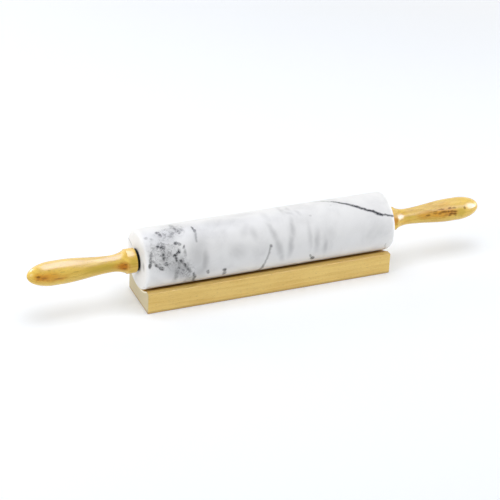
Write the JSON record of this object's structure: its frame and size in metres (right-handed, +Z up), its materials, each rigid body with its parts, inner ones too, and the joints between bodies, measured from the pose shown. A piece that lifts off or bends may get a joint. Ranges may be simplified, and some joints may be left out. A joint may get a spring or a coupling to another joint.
{
  "type": "rolling pin",
  "caption": "Marble rolling pin with turned wooden handles on a steel axle, lying in a grooved wooden cradle that it lifts off.",
  "frame": {"origin": "on the ground, under the middle of the cradle and of the pin", "axes": "+X along the pin, +Y across it, +Z up"},
  "size_m": [0.464, 0.057, 0.0731],
  "materials": {
    "marble": "polished white marble with grey veins",
    "cradle_wood": "satin lacquered pale hardwood",
    "handle_wood": "gloss lacquered pale hardwood",
    "black_nylon": "moulded black nylon",
    "steel": "bright drawn steel",
    "brass": "turned brass"
  },
  "bodies": {
    "cradle": {"cradle": "cradle_wood"},
    "barrel": {"marble_barrel": "marble", "bush_left": "black_nylon", "bush_right": "black_nylon"},
    "axle": {"axle_rod": "steel", "thrust_washer_left": "steel", "thrust_washer_right": "steel", "threaded_insert_left": "brass", "threaded_insert_right": "brass", "handle_left": "handle_wood", "handle_right": "handle_wood"}
  },
  "joints": [
    {"name": "pin_lift", "type": "slide", "parent": "cradle", "child": "barrel", "axis": [0, 0, 1], "range_m": [0, 0.1]},
    {"name": "axle_spin", "type": "hinge", "parent": "barrel", "child": "axle", "pos_m": [0, 0, 0.0446], "axis": [1, 0, 0], "continuous": true}
  ]
}
